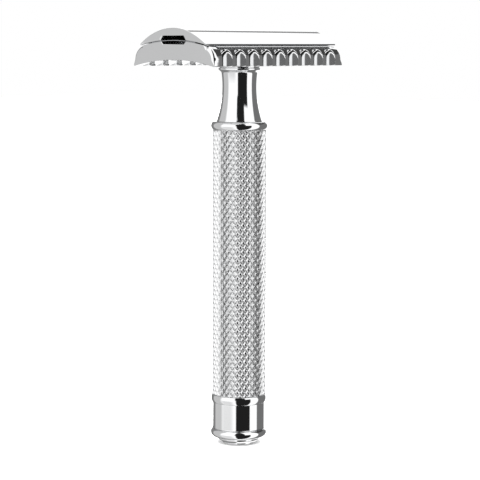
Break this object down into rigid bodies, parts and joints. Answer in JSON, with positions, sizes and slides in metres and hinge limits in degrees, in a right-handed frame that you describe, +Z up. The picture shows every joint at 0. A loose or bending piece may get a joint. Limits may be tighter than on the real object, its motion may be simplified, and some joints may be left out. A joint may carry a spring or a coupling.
{
  "type": "safety razor",
  "caption": "Double-edge safety razor with a domed cap, open-comb plate, clamped blade and a knurled hollow handle; turning the head against the handle raises the cap off the blade.",
  "frame": {"origin": "centre of the flat foot's underside, on the handle's axis, where the razor stands", "axes": "+Z up the handle to the cap, +X along the blade's edges, +Y across the blade"},
  "size_m": [0.0428, 0.0242, 0.0937],
  "materials": {
    "chrome_handle": "mirror polished plating",
    "chrome_foot": "polished plating with fine turning marks",
    "chrome_grip": "polished plating over diamond knurling",
    "chrome_comb": "polished plating over a casting",
    "chrome_cap": "mirror polished plating",
    "chrome_stud": "plated thread",
    "blade_steel": "rolled strip with ground edges"
  },
  "bodies": {
    "handle": {"end_cap": "chrome_handle", "tie_screw": "chrome_foot", "end_ring": "chrome_handle", "grip_tube": "chrome_grip", "collar_ring": "chrome_handle", "neck": "chrome_handle"},
    "comb_plate": {"comb_plate": "chrome_comb"},
    "blade": {"blade": "blade_steel"},
    "cap": {"cap": "chrome_cap", "threaded_stud": "chrome_stud", "locating_pins": "chrome_stud"}
  },
  "joints": [
    {"name": "head_turn", "type": "hinge", "parent": "handle", "child": "comb_plate", "pos_m": [0, 0, 0.085], "axis": [0, 0, 1], "range_deg": [0, 3240]},
    {"name": "cap_lift", "type": "slide", "parent": "comb_plate", "child": "cap", "axis": [0, 0, 1], "range_m": [0, 0.0072]},
    {"name": "blade_lift", "type": "slide", "parent": "comb_plate", "child": "blade", "axis": [0, 0, 1], "range_m": [0, 0.0036]}
  ],
  "couplings": [
    {"joint": "cap_lift", "follows": "head_turn", "m_per_rad": 0.00012732},
    {"joint": "blade_lift", "follows": "head_turn", "m_per_rad": 0.000063662}
  ]
}
